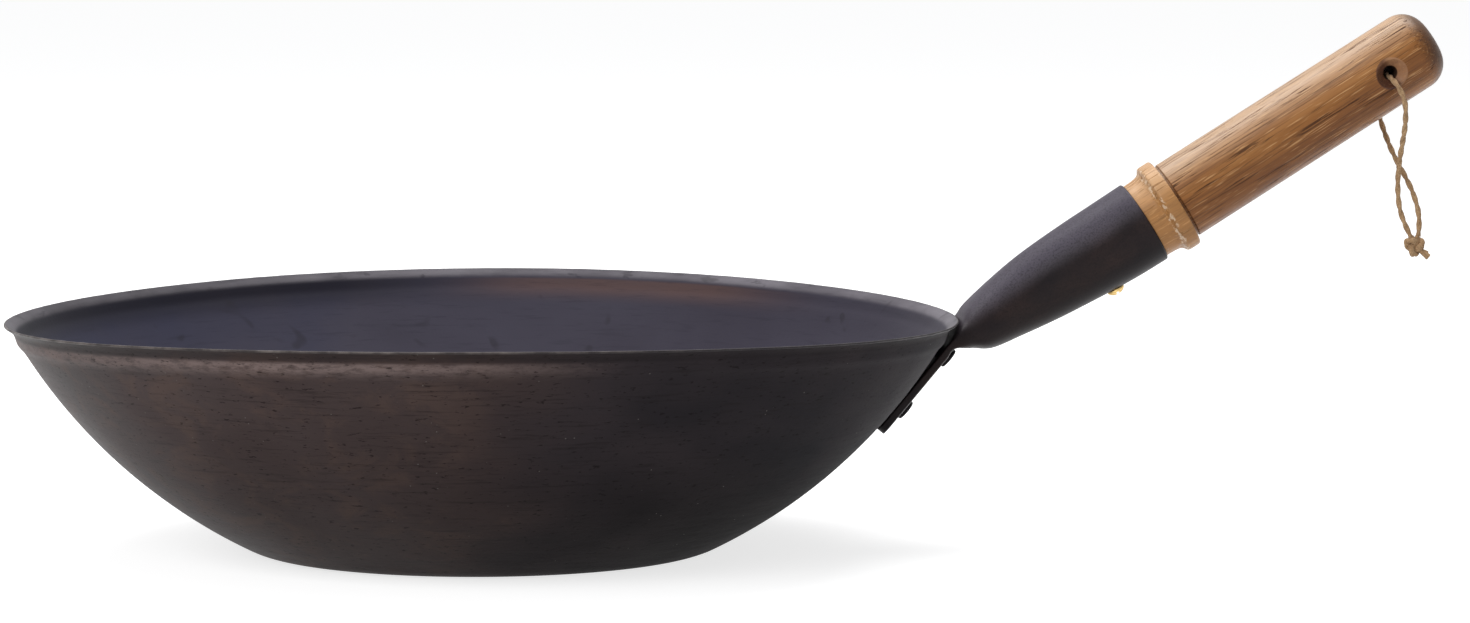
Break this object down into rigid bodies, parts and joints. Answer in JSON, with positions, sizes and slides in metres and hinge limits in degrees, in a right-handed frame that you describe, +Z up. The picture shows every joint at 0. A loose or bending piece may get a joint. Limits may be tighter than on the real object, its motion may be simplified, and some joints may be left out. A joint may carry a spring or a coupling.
{
  "type": "wok",
  "caption": "Carbon steel wok with a flat base, a short flared lip, a riveted steel handle socket, a turned wooden grip and a twine hanging loop.",
  "frame": {"origin": "middle of the flat underside of the bowl, on the surface that it stands on", "axes": "+Z up; +X from the middle of the bowl towards the end of the handle; Y across the handle"},
  "size_m": [0.5007, 0.33, 0.1848],
  "materials": {
    "seasoned_steel": "dark heat-blued and oiled, satin",
    "socket_steel": "dark oxide scale, satin",
    "rivet_steel": "blackened, satin",
    "oiled_oak": "turned and oiled oak, long open grain",
    "brass_screw": "turned, satin",
    "jute_twine": "two-ply twisted jute, matt"
  },
  "bodies": {
    "wok": {"wok_bowl": "seasoned_steel", "handle_socket": "socket_steel", "rivet_lower": "rivet_steel", "rivet_upper": "rivet_steel", "wooden_handle": "oiled_oak", "socket_screw": "brass_screw"},
    "hanging_loop": {"twine_loop": "jute_twine", "twine_knot": "jute_twine"}
  },
  "joints": [
    {"name": "loop_swing", "type": "hinge", "parent": "wok", "child": "hanging_loop", "pos_m": [0.31462, 0, 0.16434], "axis": [0.0429, -0.9968, -0.0678], "range_deg": [-25, 60]}
  ]
}
